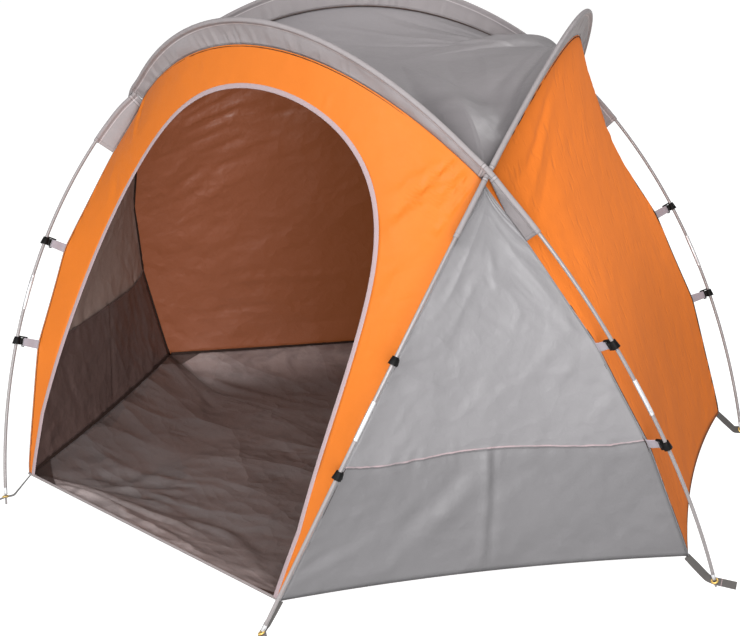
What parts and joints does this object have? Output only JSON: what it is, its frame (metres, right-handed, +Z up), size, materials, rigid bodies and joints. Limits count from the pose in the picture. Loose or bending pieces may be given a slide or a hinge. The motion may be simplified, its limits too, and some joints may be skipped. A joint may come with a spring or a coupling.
{
  "type": "beach shelter",
  "caption": "Pole-framed fabric beach shelter with a floor, a rounded open doorway, arched poles crossing at the roof, pole clips and peg straps.",
  "frame": {"origin": "middle of the floor's underside, on the ground, on the axis about which the three arched poles repeat", "axes": "+Z up, +X to the right of someone who looks in through the doorway, -Y out through the doorway"},
  "size_m": [2.5794, 2.2443, 1.4768],
  "materials": {
    "orange_fabric": "coated woven polyester, faint sheen",
    "grey_fabric": "coated woven polyester, faint silvery sheen",
    "floor": "heavier coated groundsheet cloth",
    "binding": "matt woven tape",
    "pole": "resin-bound glass fibre, satin",
    "metal": "drawn tube, satin",
    "clip_plastic": "moulded, satin",
    "webbing": "woven webbing"
  },
  "bodies": {
    "root": {"clip_1_lower": "clip_plastic", "clip_1_upper": "clip_plastic", "clip_2_lower": "clip_plastic", "clip_2_upper": "clip_plastic", "clip_3_lower": "clip_plastic", "clip_3_upper": "clip_plastic", "clip_4_lower": "clip_plastic", "clip_4_upper": "clip_plastic", "clip_5_lower": "clip_plastic", "clip_5_upper": "clip_plastic", "clip_6_lower": "clip_plastic", "clip_6_upper": "clip_plastic", "door_binding": "binding", "ferrule_1": "metal", "ferrule_2": "metal", "ferrule_3": "metal", "ferrule_4": "metal", "ferrule_5": "metal", "ferrule_6": "metal", "floor": "floor", "front_wall": "orange_fabric", "leg_sleeve_1": "grey_fabric", "leg_sleeve_2": "grey_fabric", "leg_sleeve_4": "grey_fabric", "pocket_left": "grey_fabric", "pocket_rear": "grey_fabric", "pocket_right": "grey_fabric", "pole_1": "pole", "pole_2": "pole", "pole_3": "pole", "rear_wall_left": "orange_fabric", "rear_wall_right": "orange_fabric", "roof": "grey_fabric", "side_wall_left": "grey_fabric", "side_wall_rear": "grey_fabric", "side_wall_right": "grey_fabric", "sleeve_1": "grey_fabric", "sleeve_2": "grey_fabric", "sleeve_3": "grey_fabric", "strap_1": "webbing", "strap_2": "webbing", "strap_3": "webbing", "strap_4": "webbing", "strap_5": "webbing", "strap_6": "webbing"}
  },
  "joints": []
}
